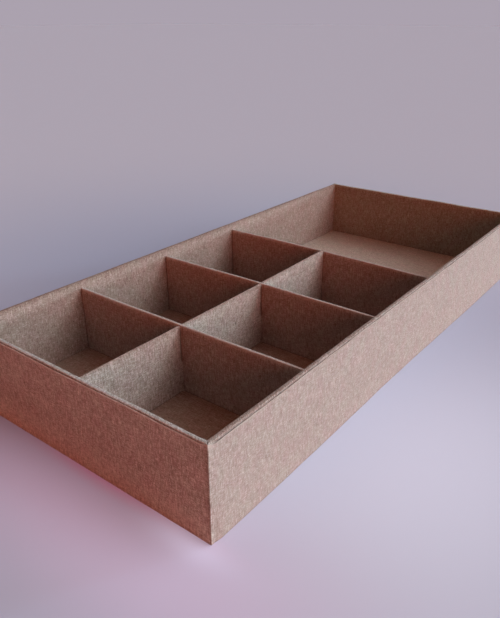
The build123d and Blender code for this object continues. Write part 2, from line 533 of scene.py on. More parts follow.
def outer_places(t, depth, height):
    """Where each point of the grid is: its place on the ring and the direction outwards,
    its distance from a corner and below the raw edge, and how much it belongs to the
    left end, to the front wall and to the walls rather than the turn under the base."""
    tt, dd = np.meshgrid(t, depth, indexing="ij")
    flat = ring(tt, dd)
    edge_x, edge_y = flat[:, -1:, 0], flat[:, -1:, 1]
    from_middle = np.abs(tt - np.floor(tt) - 0.5) * 2
    is_end = np.floor(tt).astype(int) % 2
    height = np.broadcast_to(height, tt.shape)
    return SimpleNamespace(
        flat=flat, outward=unit(ring(tt, 0 * dd) - ring(tt, 0 * dd + MM)), edge_x=edge_x, edge_y=edge_y,
        distance=ring_length(t)[:, None], depth=dd, height=height, below_top=raw_edge_z - height,
        from_corner=(1 - from_middle) * np.where(is_end == 0, half_length, half_width),
        past_seam=tt - (seam + 4), on_wall=ease((0.6 * MM - dd) / (0.6 * MM)),
        left=at_left(edge_x), left_face=at_left(edge_x) * is_end, front=at_front(edge_x, edge_y))


print("seam %.0f mm from the corner, %.0f mm overlap" % (seam_from_corner / MM, overlap / MM))

# %% Shape of the outer cloth
# How far the front face's foot bulges: places along it, then the bulge, in millimetres
front_bulge = [(-165, -100, -45, 10, 80, 120), (1.1, 0.8, 0.0, 0.2, 1.0, 1.6)]
bulge_height = 35 * MM
foot_sag = 0.25 * MM
# Each face's ripple, and the raw edge's lift in millimetres
face_ripple = [(0.07 * MM, 34 * MM, 35), (0.03 * MM, 9 * MM, 36)]
lift_waver = [(0.08, 28 * MM, 31), (0.04, 4 * MM, 32)]
mean_lift, left_lift, least_lift, most_lift = 0.30, 0.06, 0.04, 0.5
# The share of the ring's count over which the overlapping end rises, near its cut
overlap_rise = 0.004


def edge_lift(distance, left):
    """How far the raw edge stands off the lap: a little everywhere, more on the left end."""
    lift = mean_lift + left_lift * left + wavers(distance, 0, lift_waver)
    return np.clip(lift, least_lift, most_lift) * MM


def outer_shape(at):
    """Points of the outer cloth: the ring, moved outwards by the raw edge's lift, the
    corner lumps, a ripple, the overlap and the front's bulge, and up by the raw edge's
    rise less the foot's sag."""
    rise = raw_edge_height(at.edge_x, at.edge_y) - raw_edge_z
    up_edge = fade(at.below_top, 8 * MM) * rise
    lift = edge_lift(at.distance, at.left) * fade(at.below_top, 2.4 * MM) * ease(at.from_corner / (5 * MM))
    lump = corner_lump * outer_lump_out * lump_at(at.from_corner, at.height)
    ripple = wavers(at.distance, at.height, face_ripple)
    overlapped = ease(at.past_seam / overlap_rise + 1) * cloth
    bulge = at.front * np.interp(at.edge_x / MM, *front_bulge) * MM
    bulge = bulge * fade(at.height, bulge_height) * ease(at.from_corner / (8 * MM))
    out = (lift + lump + ripple + overlapped + bulge) * at.on_wall
    sag = foot_sag * fade(at.depth, 2.6 * MM) * fade(at.height - turn_z, 5 * MM)
    up = at.height + up_edge - sag
    return np.concatenate([at.flat + at.outward * out[..., None], up[..., None]], -1)


print("the front's foot bulges by up to %.1f mm" % max(front_bulge[1]))

# %% Outer cloth
# Darker at the bottom bend and along the corners, most on the left end's side of
# them, and painted paler towards the left end's foot, as painted light from below
bend_darkening, bend_reach = -0.8, 2.5 * MM
corner_darkening, left_corner_darkening, corner_reach = -0.1, -4.2, 4.5 * MM
foot_painted_light, foot_height = 2.6, 24 * MM
edge_fray, left_edge_fray = 0.5 * MM, 0.5 * MM
corner_fray = 2.6 * MM
outer_uneven, left_uneven = 0.8, 0.5


def outer_marks(at, v, length, bend):
    """Marks of the outer cloth: darker at the bend and the corners, painted light at the left
    end's foot, its frayed edge and its unevenness. The frayed edge shows along the raw edge
    and where wear has gone through the corners' tops."""
    rubbed = bend_darkening * near(np.broadcast_to(v, at.depth.shape), [sum(bend) / 2], bend_reach)
    by_corner = np.clip(1 - at.from_corner / corner_reach, 0, 1) * at.on_wall
    rubbed = rubbed + (corner_darkening + left_corner_darkening * at.left_face) * by_corner
    # Painted light from below on the left end's lower part
    rubbed = rubbed + foot_painted_light * at.left * fade(at.height, foot_height)
    cut = np.clip(1 - (length - v) / (edge_fray + left_edge_fray * at.left), 0, 1)
    worn_corner = np.exp(-(at.from_corner / corner_fray) ** 2) * ease(1.3 - at.below_top / corner_fray)
    uneven = outer_uneven + left_uneven * at.left
    return {"rubbed": rubbed, "cut": np.maximum(cut, worn_corner), "uneven": uneven}


def make_outer_cloth():
    """The strip round the tray, its flat size, and its raw edge as distances round the
    tray, points and directions outwards."""
    path = [(turn_under, turn_z), (0, turn_z), (0, raw_edge_z)]
    read, length, bends = section(path, [bottom_radius])
    t, v = outer_grid(length, bends[0])
    at = outer_places(t, *read(v).T)
    face = outer_shape(at)
    distance = at.distance[:, 0]
    piece = lay_sheet("outer_cloth_wrap", face, distance, v, **outer_marks(at, v, length, bends[0]))
    return piece, (distance[-1] - distance[0], length), (distance, face[:, -1], at.outward[:, -1])


outer_wrap, outer_size, raw_edge = make_outer_cloth()

# %% [markdown]
# ## Frayed threads
# Scissors leave the strip's upper edge raw. In places its last weft thread has come
# loose and lies along the edge, where it catches the light, and short warp ends
# stick up out of it. The left end is the most frayed. A curve object could be given
# a bevel for each of them, but hundreds of threads are quicker as one mesh: rings of
# four points about every thread's path, made for all the threads at once.

# %% Thread tubes
# The distances round the tray between which the raw edge runs along the left end
left_run = (2 * half_length, 2 * half_length + 2 * half_width)


def tubes(name, paths, radii):
    """Four-sided tubes about paths of shape (threads, points, 3) with radii of shape
    (threads, points). Every ring's point k stands at the angle k quarter turns."""
    count, steps = radii.shape
    ahead = unit(np.gradient(paths, axis=1))
    side = unit(np.cross(ahead, np.array([0.31, 0.52, 0.79])))
    up = np.cross(side, ahead)
    angle = np.arange(4) * np.pi / 2
    ring_points = (paths[:, :, None] + radii[:, :, None, None] * (
        np.cos(angle)[:, None] * side[:, :, None] + np.sin(angle)[:, None] * up[:, :, None]))
    number = np.arange(count * steps * 4).reshape(count, steps, 4)
    here, there = number[:, :-1], number[:, 1:]
    walls = np.stack([here, there, np.roll(there, -1, 2), np.roll(here, -1, 2)], -1).reshape(-1, 4)
    first, last = number[:, 0], number[:, -1, ::-1]
    quads = np.concatenate([walls, first, last])
    piece = make_mesh(name, ring_points.reshape(-1, 3), quads)
    print("%-24s %6d faces, %d threads" % (name, len(quads), count))
    return piece


def along_edge(distance):
    """Places on the raw edge and the directions outwards there, between its own points."""
    known, edge, outward = raw_edge

    def read(values):
        return np.stack([np.interp(distance, known, column) for column in values.T], -1)

    flat_outward = unit(read(outward))
    return read(edge), np.concatenate([flat_outward, np.zeros(flat_outward.shape[:-1] + (1,))], -1)


print("raw edge on the left end from %.0f to %.0f mm" % tuple(d / MM for d in left_run))

# %% Loose weft threads
# On the left end the lengths follow each other at a pitch. Elsewhere their places are
# drawn by chance. Ranges are from least to most, and radii are in millimetres
left_pitch, left_first, left_last = 27 * MM, 9 * MM, 30 * MM
left_lengths, weft_lengths = (25 * MM, 31 * MM), (10 * MM, 38 * MM)
left_radius, weft_radii = 0.24, (0.10, 0.16)
# Mean depth behind the raw edge and height above it, and how much each wavers
weft_depth, weft_wobble = 0.09 * MM, 0.07 * MM
weft_height, weft_lift = 0.06 * MM, 0.06 * MM


def make_loose_wefts(count=40, seed=5, steps=60):
    """Lengths of weft thread that lie on the raw edge, each with its own waver, and as
    thick as a root of the sine from end to end."""
    draw = np.random.default_rng(seed)
    first, last = raw_edge[0][0], raw_edge[0][-1]
    left_starts = np.arange(left_run[0] + left_first, left_run[1] - left_last, left_pitch)
    on_left = len(left_starts)
    lengths = draw.uniform(*weft_lengths, count)
    lengths[:on_left] = draw.uniform(*left_lengths, on_left)
    other_starts = draw.uniform(first, last - 40 * MM, count - on_left)
    starts = np.concatenate([left_starts, other_starts])
    thick = np.where(np.arange(count) < on_left, left_radius, draw.uniform(*weft_radii, count)) * MM
    share = np.linspace(0, 1, steps)
    distance = starts[:, None] + lengths[:, None] * share
    place, outward = along_edge(distance)
    wobble = waver(distance, starts[:, None] * 9, 5 * MM, seed + 1)
    lift = waver(distance, starts[:, None] * 9, 11 * MM, seed + 2)
    ends = np.sin(np.pi * share) ** 0.2
    paths = place - outward * (weft_depth - weft_wobble * wobble[..., None])
    paths[..., 2] += weft_height + weft_lift * lift
    radii = thick[:, None] * ends * (1 + 0.25 * wobble)
    return tubes("loose_weft_threads", paths, radii)


loose_wefts = make_loose_wefts()

# %% Frayed warp ends
fibre_steps, taper = 7, 0.6
warp_reach, warp_radii = 1.1 * MM, (0.03, 0.055)
root_depth, root_drop = 0.14 * MM, 0.1 * MM


def make_warp_ends(count=420, seed=8):
    """Short warp ends out of the raw edge. At a share of its reach each has risen by the
    share, less a part for its curl, and leans along the edge by the share and outwards
    by the share squared, all by chance. A third of them are on the left end."""
    draw = np.random.default_rng(seed)
    first, last = raw_edge[0][0], raw_edge[0][-1]
    distance = np.concatenate([
        draw.uniform(*left_run, count // 3), draw.uniform(first, last, count - count // 3)])
    place, outward = along_edge(distance)
    along = np.cross(outward, (0, 0, 1.0))
    reach = draw.uniform(0.25, 1.0, count)[:, None, None] ** 1.5 * warp_reach
    share = np.linspace(0, 1, fibre_steps)[None, :, None]
    lean, curl = draw.normal(0, 0.7, (2, count, 1, 1))
    out_lean = draw.uniform(-0.35, 0.45, (count, 1, 1))
    paths = (place - root_depth * outward)[:, None] + reach * (
        share * np.array([0, 0, 1.0]) * (1 - 0.35 * share * np.abs(curl))
        + share * (lean + curl * share) * along[:, None] + share ** 2 * out_lean * outward[:, None])
    paths[..., 2] -= root_drop
    radii = draw.uniform(*warp_radii, (count, 1)) * MM * (1 - taper * share[..., 0])
    return tubes("raw_edge_warp_ends", paths, radii)


loose_threads = [loose_wefts, make_warp_ends()]

# %% Tufts in the slots
# How the roots scatter, how the fibres are spread and drawn, along, out of and up the
# cloth, and their reach and radii in millimetres
tuft_scatter, root_spread = 0.3 * MM, (0.7, 0.1, 1.3)
fibre_spread, fibre_pull = (0.8, 0.2, 1.0), (0, -0.4, 0.2)
tuft_reach, tuft_radii = (0.4, 1.1), (0.05, 0.08)


def make_slot_tufts(per_spot=12, seed=12):
    """Pale tufts where the long divider's slots were cut: at each slot's bottom and at the
    foot of each crossing, on the side of the front compartments. Every fibre leaves its
    root in a direction drawn by chance, mostly out of the cloth."""
    draw = np.random.default_rng(seed)
    spots = [(x - slot_gap, -divider_half - 0.05 * MM, z)
             for x in cross_faces[:-1] for z in (slot_level, floor_z + 0.5 * MM)]
    roots = np.repeat(spots, per_spot, axis=0)
    roots = roots + draw.normal(0, tuft_scatter, roots.shape) * root_spread
    ahead = unit(draw.normal(0, 1, roots.shape) * fibre_spread + fibre_pull)[:, None]
    reach = draw.uniform(*tuft_reach, (len(roots), 1, 1)) * MM
    share = np.linspace(0, 1, fibre_steps)[None, :, None]
    curl = draw.normal(0, 0.35, (len(roots), 1, 3)) * (1, 0.2, 1)
    paths = roots[:, None] + reach * share * (ahead + curl * share)
    radii = draw.uniform(*tuft_radii, (len(roots), 1)) * MM * (1 - taper * share[..., 0])
    return tubes("slot_tufts", paths, radii)


tufts = make_slot_tufts()

# %% [markdown]
# ## Divider cloths
# A divider is a board with cloth folded over its top. The half-lap slots are cut
# through cloth and board together, down from the top in the long divider and up from
# below in the first two cross dividers. On the unrolled sheet a slot is a plain
# rectangle, so its cells are simply left out of the grid. The cloth beside a slot is
# pressed outwards by the board that was pushed in and worn pale at the top, and a dark
# line of painted shade of the slit runs down one edge of it. The cross dividers' tops are
# painted paler, as painted light, while the lengthwise one's is painted darker, as painted shade.

# %% Rises of the dividers
# How far each divider's top edge stands above its drawn height: places along it, then
# the rise there, in millimetres. The lengthwise one climbs towards the bay, the first
# cross divider stands high in front, and the other two sag at their ends.
rises = {
    "long_divider_cloth": [(-200, -120, -70, -30, 18), (0.05, 0.05, 0.2, 0.75, 1.5)],
    "cross_divider_cloth_1": [(-70, -30, 60), (0.5, 0.15, 0)],
    "cross_divider_cloth_2": [(-80, -30, 25, 55, 80), (0.2, 0.5, 0.65, 0.15, 0)],
    "cross_divider_cloth_3": [(-80, -30, 50, 85), (0, 0.65, 0.9, 0.4)],
}
print("rises of up to %.1f mm" % max(max(rise) for _, rise in rises.values()))

# %% Grid and slots of a divider's cloth
side_reach = 0.35 * MM
beside_slot = (-1.2 * MM, -0.5 * MM, 0.5 * MM)


def divider_grid(ends, length, bends, edges):
    """Grid lines of a divider's cloth: distances along it, closer at the slots' edges and
    beside them, and up one face and down the other, closer in the folds."""
    slot_v = slot_level - floor_z
    spots = [m for bend in bends for m in bend]
    v = lines([0, 0.6 * MM, slot_v, length / 2, length - slot_v, length - 0.6 * MM, length, *spots],
              2.2 * MM, fine=bends)
    beside = [e + s for e in edges for s in beside_slot]
    u = lines([ends[0], ends[0] + MM, ends[1] - MM, ends[1], *edges, *beside], 2 * MM)
    return u, v


def kept_cells(u, v, length, slots, from_top):
    """The cells that are cloth: all but those whose middle lies within a slot's span, and
    on its open part of the way from the middle of the sheet to its edge."""
    cell_u, cell_v = (u[:-1] + u[1:]) / 2, (v[:-1] + v[1:]) / 2
    in_slot = np.zeros(len(cell_u), bool)
    for start, end in slots:
        in_slot |= (cell_u > start) & (cell_u < end)
    open_v = np.abs(cell_v - length / 2) < length / 2 - (slot_level - floor_z)
    open_v = open_v if from_top else ~open_v
    return ~(in_slot[:, None] & open_v[None, :])


print("slots %.1f mm deep from below" % ((slot_level - floor_z) / MM))

# %% Shape of a divider's cloth
long_fold, cross_fold = 0.85 * MM, 0.6 * MM
crown_height, crown_lift = 4 * MM, 0.08 * MM
# How far the faces are pressed out beside a slot, and how far along from it
press, press_reach = 0.15 * MM, 0.9 * MM
# Heights and lengths of the faces' ripple and of the crown's slow and quick wavers
ripple_height, ripple_length = 0.06 * MM, 26 * MM
slow_height, slow_length = 0.08 * MM, 60 * MM
quick_height, quick_length = 0.04 * MM, 5 * MM


def divider_places(node, lengthwise, u, side, height, edges):
    """Where each point of the grid is: along the divider, across it and up, how far up it
    is from 0 at the floor to 1 at the top, how much it belongs to the crown of the fold,
    and how near to a slot it is."""
    run, side = np.meshgrid(u, side, indexing="ij")
    height = np.broadcast_to(height, run.shape)
    top_z = high(node, 2)
    rise_at = (run if lengthwise else -run) / MM
    return SimpleNamespace(
        run=run, side=side, height=height, rise=np.interp(rise_at, *rises[node]) * MM,
        upper=ease((height - floor_z) / (top_z - floor_z)), crown=fade(top_z - height, crown_height),
        by_slot=near(run, edges or [1e3], press_reach))


def divider_shape(at, lengthwise, middle, seed):
    """Points of a divider's cloth: its section, with a ripple on the faces that grows on
    the way up, faces pressed out beside the slots, a crown that wavers, and the rise."""
    one_side = at.height * np.sign(at.side + 1e-9)
    ripple = ripple_height * waver(at.run, one_side, ripple_length, seed)
    sag = slow_height * waver(at.run, 0, slow_length, seed + 1)
    sag = sag + quick_height * waver(at.run, at.side, quick_length, seed + 2)
    across = middle + at.side + np.sign(at.side) * (ripple * at.upper + press * at.by_slot ** 2)
    up = at.height + at.crown * (sag + crown_lift) + at.rise * at.upper
    return np.stack([at.run, across, up] if lengthwise else [across, -at.run, up], -1)


print("faces pressed out by %.2f mm beside the slots" % (press / MM))

# %% Dividers
# Painted shade on the lengthwise divider's top, painted light on the cross dividers' tops, wear beside the
# slots at the crown, and how far the marks on the folds reach
long_painted_shade, cross_painted_light, slot_wear, wear_reach = -3.4, 5.0, 3.0, 3 * MM
# The lengthwise divider's faces are painted paler at the top and darker at the floor, as
# painted shade, by this each way
face_shade = 0.8
# How strong and how wide the painted shade of the slit is, and how much of it the crown is spared
slit_shade_strength, slit_shade_width, crown_spared = 1.8, 1.4 * MM, 0.8
long_uneven, cross_uneven = 1.3, 1.2
# How much closer the glued edge of a slot stands to the board in it
slot_close = 0.1 * MM


def divider_marks(at, lengthwise, v, ends, length, bends, slots):
    """Marks of a divider's cloth. The painted shade on the lengthwise divider's top and the
    painted light on the cross dividers' tops fade from the middle of each fold, and the
    dark edge colour shows at the ends and at the foot. On the lengthwise divider the faces
    are painted darker towards the floor, as painted shade, and painted shade of the slit
    darkens the first edge of each slot, least at the crown."""
    v = np.broadcast_to(v, at.run.shape)
    wear = long_painted_shade if lengthwise else cross_painted_light
    rubbed = wear * near(v, [sum(b) / 2 for b in bends], wear_reach) + slot_wear * at.by_slot * at.crown
    cut = np.maximum(near(at.run, ends, side_reach), near(v, [0, length], side_reach))
    if lengthwise:
        rubbed = rubbed + face_shade * (2 * at.upper - 1)
        # Painted shade of the slit down the first edge of each slot
        slit_shade = np.minimum(slit_shade_strength * near(at.run, [start for start, _ in slots], slit_shade_width), 1)
        cut = np.maximum(cut, slit_shade * (1 - crown_spared * at.crown) * (at.height > slot_level))
    return {"rubbed": rubbed, "cut": cut, "uneven": long_uneven if lengthwise else cross_uneven}


def make_divider(name, node, middle, lengthwise, slots, from_top, seed):
    """Cloth over the divider that a node stands for: its section, carried from end to end.
    slots are (start, end) along it, and from_top says whether they open at the top or at
    the floor."""
    half, top_z, run_axis = divider_half, high(node, 2), 0 if lengthwise else 1
    ends = (low(node, run_axis), high(node, run_axis))
    path = [(-half, floor_z), (-half, top_z), (half, top_z), (half, floor_z)]
    read, length, bends = section(path, [long_fold if lengthwise else cross_fold] * 2)
    edges = [e for slot in slots for e in slot]
    u, v = divider_grid(ends, length, bends, edges)
    at = divider_places(node, lengthwise, u, *read(v).T, edges)
    piece = lay_sheet(name, divider_shape(at, lengthwise, middle, seed), u, v,
                      keep=kept_cells(u, v, length, slots, from_top),
                      **divider_marks(at, lengthwise, v, ends, length, bends, slots))
    return piece, (ends[1] - ends[0], length)


crossings = cross_faces[:-1]
long_slots = [(x - slot_gap + slot_close, x + 2 * divider_half + slot_gap) for x in crossings]
dividers = {"long_divider_cloth": make_divider(
    "long_divider_wrap", "long_divider_cloth", 0, True, long_slots, True, 60)}
for k, (node, x) in enumerate(zip(cross_nodes, cross_faces)):
    slots = [(-divider_half - slot_gap, divider_half + slot_gap)] if x in crossings else []
    dividers[node] = make_divider(
        "cross_divider_wrap_%d" % (k + 1), node, x + divider_half, False, slots, False, 70 + 9 * k)

# %% [markdown]
# ## Floor lining and base cloth
# The floor is a card wrapped on the bench and dropped in, so its edges turn down in a
# small round and leave a dark hairline against the walls. The open bay is painted paler,
# as painted light, and the compartments' floors darker, as painted shade. The base cloth
# is a plain rectangle, glued under the tray a few millimetres in from the edge.

# %% Floor and base
floor_fold, rim_width = 0.34 * MM, 1.5 * MM
# The bay's floor is painted paler, as painted light, and the compartments' floors darker, as painted shade
bay_painted_light, row_painted_shade = 2.6, -1.5
# The fold stops just short of upright, so that its last cells keep some width
fold_share = 0.98
floor_dip, base_lift, base_dimple = 0.05 * MM, 0.02 * MM, 0.05 * MM


def make_floor_lining():
    """A flat sheet whose rim drops in a quarter round. At a distance from the edge the
    drop is the radius less the root of (the radius squared minus the square of the
    radius less that distance)."""
    x_end, y_end = high("floor_lining", 0), high("floor_lining", 1)
    u, v = (lines([-end, -end + rim_width, 0, end - rim_width, end], 2 * MM,
                  fine=[(-end, -end + rim_width), (end - rim_width, end)]) for end in (x_end, y_end))
    x, y = np.meshgrid(u, v, indexing="ij")
    drop = 0
    for place, end in ((x, x_end), (y, y_end)):
        left = np.clip(floor_fold - (end - np.abs(place)), 0, floor_fold)
        drop = drop + floor_fold - np.sqrt(floor_fold ** 2 - left ** 2 * fold_share)
    dips = floor_dip * waver(x, y, 40 * MM, 91) - floor_dip
    face = np.stack([x, y, floor_z + dips - drop], -1)
    rubbed = np.where(x > cross_faces[-1] + divider_half, bay_painted_light, row_painted_shade)
    piece = lay_sheet("floor_lining_sheet", face, u, v, rubbed=rubbed, uneven=0.9)
    return piece, (2 * x_end, 2 * y_end)


def make_base_cloth():
    """A flat rectangle that faces the table: the lengthwise distance runs along X and the
    crosswise one against Y. Its face is dimpled upwards by a hair, but not at its edge."""
    x_end, y_end = high("base_cloth", 0), high("base_cloth", 1)
    u, v = lines([-x_end, x_end], 6 * MM), lines([-y_end, y_end], 6 * MM)
    x, y = np.meshgrid(u, -v, indexing="ij")
    dips = base_lift + np.maximum(base_dimple * (1 + waver(x, y, 30 * MM, 95)), 0)
    cut = np.maximum(near(np.abs(x), [x_end], MM), near(np.abs(y), [y_end], MM))
    piece = lay_sheet("base_cloth_sheet", np.stack([x, y, dips * (1 - cut)], -1), u, v, cut=cut)
    return piece, (2 * x_end, 2 * y_end)


floor_sheet, floor_size = make_floor_lining()
base_sheet, base_size = make_base_cloth()

# %% [markdown]
# ## The cloth's finish
# Slubbed book linen is a plain weave of uneven threads. A picture of cloth would tile
# and blur, so the weave is worked out in the shader from the sheet's own millimetres:
# a set of threads is the whole-number part of the distance across them, and what is
# left over gives each thread its round section. A noise that is slow along a thread
# and jumps from one thread to the next makes the slubs. Over and under alternate
# with the sum of the two thread numbers. The small class below only shortens the
# making and joining of nodes.

# %% Node helper
class Finish:
    """A material whose nodes are made and joined by short calls. A value handed to a
    call is either a number or another node's output."""

    def __init__(self, name):
        """A new material and its plain shader."""
        self.material = bpy.data.materials.new(name)
        self.material.use_nodes = True
        self.tree = self.material.node_tree
        self.shader = self.tree.nodes["Principled BSDF"]

    def feed(self, socket, value):
        """Join an output to the socket, or set the socket to a number."""
        if isinstance(value, bpy.types.NodeSocket):
            self.tree.links.new(value, socket)
        else:
            socket.default_value = value

    def set(self, **inputs):
        """Feed the shader's own inputs, whose names have spaces in place of underscores."""
        for name, value in inputs.items():
            self.feed(self.shader.inputs[name.replace("_", " ")], value)

    def math(self, operation, a, b=0.0, c=0.0):
        """One operation on up to three numbers. MULTIPLY_ADD is a times b, plus c."""
        node = self.tree.nodes.new("ShaderNodeMath")
        node.operation = operation
        for socket, value in zip(node.inputs, (a, b, c)):
            self.feed(socket, value)
        return node.outputs[0]

    def join(self, x, y, z=0.0):
        """A vector from its three parts."""
        node = self.tree.nodes.new("ShaderNodeCombineXYZ")
        for socket, value in zip(node.inputs, (x, y, z)):
            self.feed(socket, value)
        return node.outputs[0]

    def noise(self, vector, scale=1.0, detail=2.0, roughness=0.5):
        """Smooth noise of about 0.5 at a place times the scale."""
        node = self.tree.nodes.new("ShaderNodeTexNoise")
        self.feed(node.inputs["Vector"], vector)
        for key, value in (("Scale", scale), ("Detail", detail), ("Roughness", roughness)):
            node.inputs[key].default_value = value
        return node.outputs["Fac"]

    def clouds(self, u, v, sizes, seed, detail=1.0, roughness=0.5):
        """Noise over a sheet in clouds of a length along u and another along v."""
        place = self.join(self.math("DIVIDE", u, sizes[0]), self.math("DIVIDE", v, sizes[1]), seed)
        return self.noise(place, detail=detail, roughness=roughness)

    def nudge(self, value, noise, share):
        """The value plus a share of what the noise has above a half."""
        return self.math("MULTIPLY_ADD", self.math("SUBTRACT", noise, 0.5), share, value)

    def spread(self, value, low_in, high_in, low_out=0.0, high_out=1.0):
        """A soft step from one output to another between two values of the input."""
        node = self.tree.nodes.new("ShaderNodeMapRange")
        node.interpolation_type = "SMOOTHSTEP"
        for socket, number in zip(node.inputs, (value, low_in, high_in, low_out, high_out)):
            self.feed(socket, number)
        return node.outputs[0]

    def ramp(self, value, stops):
        """Colours blended between stops, each a place from 0 to 1 and its colour."""
        node = self.tree.nodes.new("ShaderNodeValToRGB")
        self.feed(node.inputs[0], value)
        points = node.color_ramp.elements
        while len(points) < len(stops):
            points.new(0.5)
        for point, (place, colour) in zip(points, stops):
            point.position, point.color = place, (*colour, 1)
        return node.outputs[0]

    def mix(self, share, a, b, blend="MIX"):
        """Colour a with a share of colour b blended, multiplied or added into it."""
        node = self.tree.nodes.new("ShaderNodeMix")
        node.data_type, node.blend_type = "RGBA", blend
        self.feed(node.inputs[0], share)
        for socket, colour in ((node.inputs[6], a), (node.inputs[7], b)):
            self.feed(socket, colour if isinstance(colour, bpy.types.NodeSocket) else (*colour, 1))
        return node.outputs[2]

    def attribute(self, name):
        """A point attribute of the sheet."""
        node = self.tree.nodes.new("ShaderNodeAttribute")
        node.attribute_name = name
        return node.outputs["Fac"]

    def split(self, vector):
        """A vector's three parts."""
        node = self.tree.nodes.new("ShaderNodeSeparateXYZ")
        self.feed(node.inputs[0], vector)
        return node.outputs

    def cloth_distances(self):
        """The sheet's two distances, in millimetres."""
        node = self.tree.nodes.new("ShaderNodeUVMap")
        node.uv_map = "cloth"
        return self.split(node.outputs[0])[:2]

    def object_place(self):
        """The place on the piece, in metres."""
        return self.tree.nodes.new("ShaderNodeTexCoord").outputs["Object"]

    def relief(self, height, strength, distance):
        """Bump of a strength, whose height is a share of the distance."""
        bump = self.tree.nodes.new("ShaderNodeBump")
        bump.inputs["Strength"].default_value = strength
        bump.inputs["Distance"].default_value = distance
        self.feed(bump.inputs["Height"], height)
        self.feed(self.shader.inputs["Normal"], bump.outputs[0])


print("finish helper with", ", ".join(k for k in vars(Finish) if not k.startswith("_")))

# %% [markdown]
# One set of threads gives three things: its number, its section across, and its tone.
# The tone adds a slow change along each thread, the lighter slubs, and bands where
# several neighbours were dyed alike.

# %% Threads
# All lengths in the weave are in millimetres, as the cloth's UV map is
warp_pitch, weft_pitch = 0.47, 0.52
# How far the noises for the tone and for the slubs jump from one thread to the next
tone_jump, slub_jump = 7.31, 3.17
slub_length, slub_range = 3.0, (0.62, 0.76)
band_sizes = (1.3, 8.0)
slow_share, slub_share, warp_bands, weft_bands = 1.7, 0.2, 0.6, 0.4


def threads(f, across, along, pitch, banded, seed):
    """Parallel threads. The number is floor(across / pitch). The section is one less the
    square of the distance from the thread's middle, and the tone is noise that is read
    at a jumping place across and a slow place along."""
    place = f.math("DIVIDE", across, pitch)
    number = f.math("FLOOR", place)
    inside = f.math("MULTIPLY_ADD", f.math("FRACT", place), 2.0, -1.0)
    round_section = f.math("SUBTRACT", 1.0, f.math("MULTIPLY", inside, inside))
    slow_along = f.math("DIVIDE", along, slub_length)
    jump = f.math("MULTIPLY_ADD", number, tone_jump, seed)
    slow = f.noise(f.join(jump, slow_along), detail=2.0, roughness=0.6)
    other_jump = f.math("MULTIPLY_ADD", number, slub_jump, seed + 40)
    slub = f.spread(f.noise(f.join(other_jump, slow_along), detail=0.0), *slub_range)
    bands = f.clouds(across, along, band_sizes, seed, detail=2.0)
    tone = f.nudge(f.nudge(0.5, slow, slow_share), bands, banded)
    return number, round_section, f.math("MULTIPLY_ADD", slub, slub_share, tone), slub


print("threads %.2f and %.2f mm apart" % (warp_pitch, weft_pitch))

# %% [markdown]
# Two sets of threads cross in a plain weave. The one that is on top at a place gives
# its tone and its height, and the height feeds the relief.

# %% Weave
# How far each set of threads sways and over which lengths
warp_sway, warp_sway_sizes = 0.35, (30.0, 16.0)
weft_sway, weft_sway_sizes = 0.3, (16.0, 34.0)
# A thread's mean level, what a crossing and a slub add to it, and how softly one thread
# gives way to the other
warp_level, weft_level = 0.58, 0.52
crossing_lift, slub_lift, give_way = 0.42, 0.35, 0.08
weft_darker = 0.05


def weave(f, u, v, seed):
    """Tone and height of the weave at two distances. The cosine of pi times the sum of the
    two threads' numbers is 1 where the warp passes over and -1 where it passes under, and
    it lifts a thread by the section of the one that it crosses."""
    across = f.math("MULTIPLY_ADD", f.clouds(u, v, warp_sway_sizes, seed), warp_sway, u)
    up = f.math("MULTIPLY_ADD", f.clouds(u, v, weft_sway_sizes, seed + 9), weft_sway, v)
    warp_no, warp_round, warp_tone, warp_slub = threads(f, across, up, warp_pitch, warp_bands, seed)
    weft_no, weft_round, weft_tone, weft_slub = threads(f, up, across, weft_pitch, weft_bands, seed + 100)
    over = f.math("COSINE", f.math("MULTIPLY", f.math("ADD", warp_no, weft_no), math.pi))
    warp_up = f.math("MULTIPLY_ADD", f.math("MULTIPLY", over, weft_round), crossing_lift, warp_level)
    weft_up = f.math("MULTIPLY_ADD", f.math("MULTIPLY", over, warp_round), -crossing_lift, weft_level)
    warp_high = f.math("MULTIPLY", f.math("MULTIPLY_ADD", warp_slub, slub_lift, warp_up), warp_round)
    weft_high = f.math("MULTIPLY", f.math("MULTIPLY_ADD", weft_slub, slub_lift, weft_up), weft_round)
    warp_shows = f.spread(f.math("SUBTRACT", warp_high, weft_high), -give_way, give_way)
    weft_shows = f.math("SUBTRACT", 1.0, warp_shows)
    weft_part = f.math("MULTIPLY", f.math("SUBTRACT", weft_tone, weft_darker), weft_shows)
    tone = f.math("ADD", f.math("MULTIPLY", warp_tone, warp_shows), weft_part)
    return tone, f.math("MAXIMUM", warp_high, weft_high)


print("the weave repeats every %.2f by %.2f mm" % (2 * warp_pitch, 2 * weft_pitch))

# %% [markdown]
# The dye took unevenly, in clouds of several sizes, and the cloth's fuzz breaks it up
# once more. The mark of wear and painted light and shade brings the tone up, and below
# zero down. In two places a dark knot lies in the thread.

# %% Dye
# Clouds of uneven dye: sizes along the sheet's two distances, a step of the seed, the
# noise's detail and roughness, and the share that is added to the tone
dye_clouds = [
    ((17.0, 24.0), 5, 3.0, 0.6, 0.2),
    ((0.7, 7.0), 63, 1.0, 0.5, 0.65),
    ((4.0, 0.7), 71, 1.0, 0.5, 0.35),
    ((0.8, 1.0), 88, 1.0, 0.5, 0.35),
]
# The last share scales the sheet's mark of wear and painted light and shade into the tone
fuzz_share, fuzz_base, rubbed_share = 0.35, 0.3, 0.14


